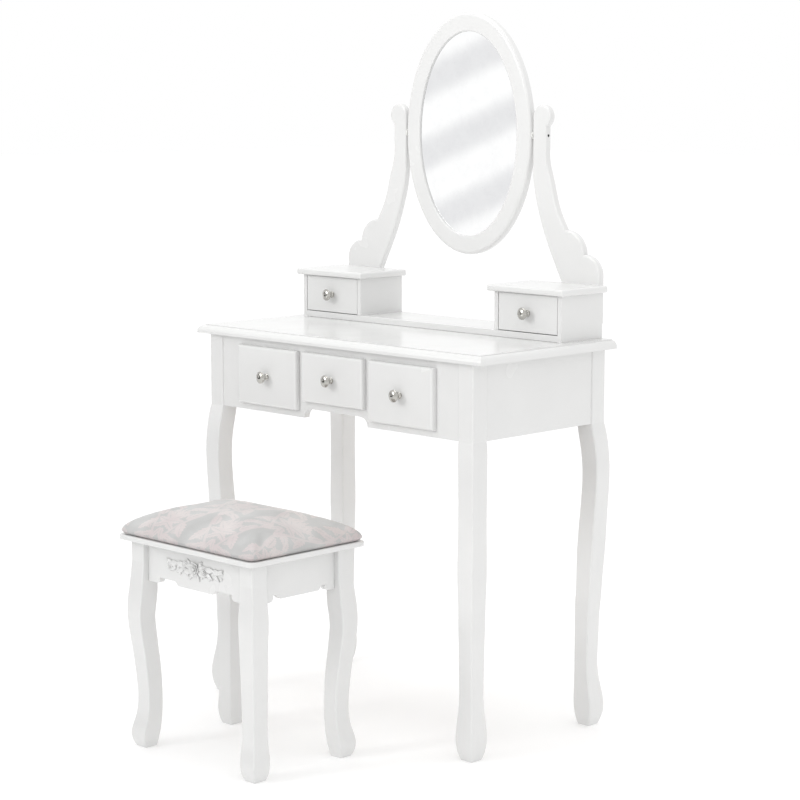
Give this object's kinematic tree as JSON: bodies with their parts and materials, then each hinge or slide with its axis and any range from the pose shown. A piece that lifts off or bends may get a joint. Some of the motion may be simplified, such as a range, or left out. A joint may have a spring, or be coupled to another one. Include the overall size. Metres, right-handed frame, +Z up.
{
  "type": "dressing table set",
  "caption": "White dressing table with drawers, upper chest, tilting oval mirror and a padded stool with bent legs.",
  "frame": {"origin": "on the floor, at the centre of the set's footprint: table and the stool in front of it", "axes": "+X to the user's right along the table's front, +Y to the back, +Z up"},
  "size_m": [0.8, 0.7872, 1.4121],
  "materials": {
    "white_lacquer": "gloss white lacquer on board",
    "white_legs": "gloss white lacquer on solid wood",
    "tray_board": "satin white paint",
    "hardboard": "smooth hardboard, painted white on top",
    "bare_wood": "planed softwood",
    "zinc_steel": "zinc plated",
    "nickel": "polished nickel",
    "black_steel": "black oxide",
    "nylon": "moulded nylon",
    "silvered_glass": "silvered glass",
    "backing_board": "medium density fibreboard",
    "damask": "woven damask, silver grey and ivory rose"
  },
  "bodies": {
    "table": {"table_top": "white_lacquer", "front_rail": "white_lacquer", "rear_panel": "white_lacquer", "left_side_panel": "white_lacquer", "right_side_panel": "white_lacquer", "front_left_leg": "white_legs", "front_right_leg": "white_legs", "rear_left_leg": "white_legs", "rear_right_leg": "white_legs", "corner_brackets": "zinc_steel", "leg_bolts": "zinc_steel", "cam_locks": "zinc_steel", "drawer_dividers": "bare_wood", "drawer_runners": "bare_wood", "chest_base_board": "white_lacquer", "left_box_case": "white_lacquer", "right_box_case": "white_lacquer", "left_box_top": "white_lacquer", "right_box_top": "white_lacquer", "left_post": "white_lacquer", "right_post": "white_lacquer", "chest_screws": "zinc_steel"},
    "mirror": {"mirror_frame": "white_lacquer", "mirror_glass": "silvered_glass", "mirror_backing": "backing_board", "backing_clips": "zinc_steel", "pivot_bolts": "black_steel", "pivot_washers": "nylon"},
    "drawer_left": {"drawer_left_front": "white_lacquer", "drawer_left_tray": "tray_board", "drawer_left_bottom": "hardboard", "drawer_left_knob": "nickel"},
    "drawer_centre": {"drawer_centre_front": "white_lacquer", "drawer_centre_tray": "tray_board", "drawer_centre_bottom": "hardboard", "drawer_centre_knob": "nickel"},
    "drawer_right": {"drawer_right_front": "white_lacquer", "drawer_right_tray": "tray_board", "drawer_right_bottom": "hardboard", "drawer_right_knob": "nickel"},
    "small_drawer_left": {"small_drawer_left_front": "white_lacquer", "small_drawer_left_tray": "tray_board", "small_drawer_left_bottom": "hardboard", "small_drawer_left_knob": "nickel"},
    "small_drawer_right": {"small_drawer_right_front": "white_lacquer", "small_drawer_right_tray": "tray_board", "small_drawer_right_bottom": "hardboard", "small_drawer_right_knob": "nickel"},
    "stool": {"stool_front_left_leg": "white_legs", "stool_front_right_leg": "white_legs", "stool_rear_left_leg": "white_legs", "stool_rear_right_leg": "white_legs", "stool_front_apron": "white_lacquer", "stool_rear_apron": "white_lacquer", "stool_side_aprons": "white_lacquer", "seat_board": "white_lacquer", "cushion": "damask", "carving": "white_lacquer", "stool_corner_blocks": "bare_wood", "stool_fixings": "zinc_steel"}
  },
  "joints": [
    {"name": "drawer_left_slide", "type": "slide", "parent": "table", "child": "drawer_left", "axis": [0, -1, 0], "range_m": [0, 0.22]},
    {"name": "drawer_centre_slide", "type": "slide", "parent": "table", "child": "drawer_centre", "axis": [0, -1, 0], "range_m": [0, 0.22]},
    {"name": "drawer_right_slide", "type": "slide", "parent": "table", "child": "drawer_right", "axis": [0, -1, 0], "range_m": [0, 0.22]},
    {"name": "small_drawer_left_slide", "type": "slide", "parent": "table", "child": "small_drawer_left", "axis": [0, -1, 0], "range_m": [0, 0.07]},
    {"name": "small_drawer_right_slide", "type": "slide", "parent": "table", "child": "small_drawer_right", "axis": [0, -1, 0], "range_m": [0, 0.07]},
    {"name": "mirror_tilt", "type": "hinge", "parent": "table", "child": "mirror", "pos_m": [0, 0.3835, 1.166], "axis": [1, 0, 0], "continuous": true},
    {"name": "stool_slide", "type": "slide", "parent": "table", "child": "stool", "axis": [0, 1, 0], "range_m": [-0.2, 0.34]}
  ]
}
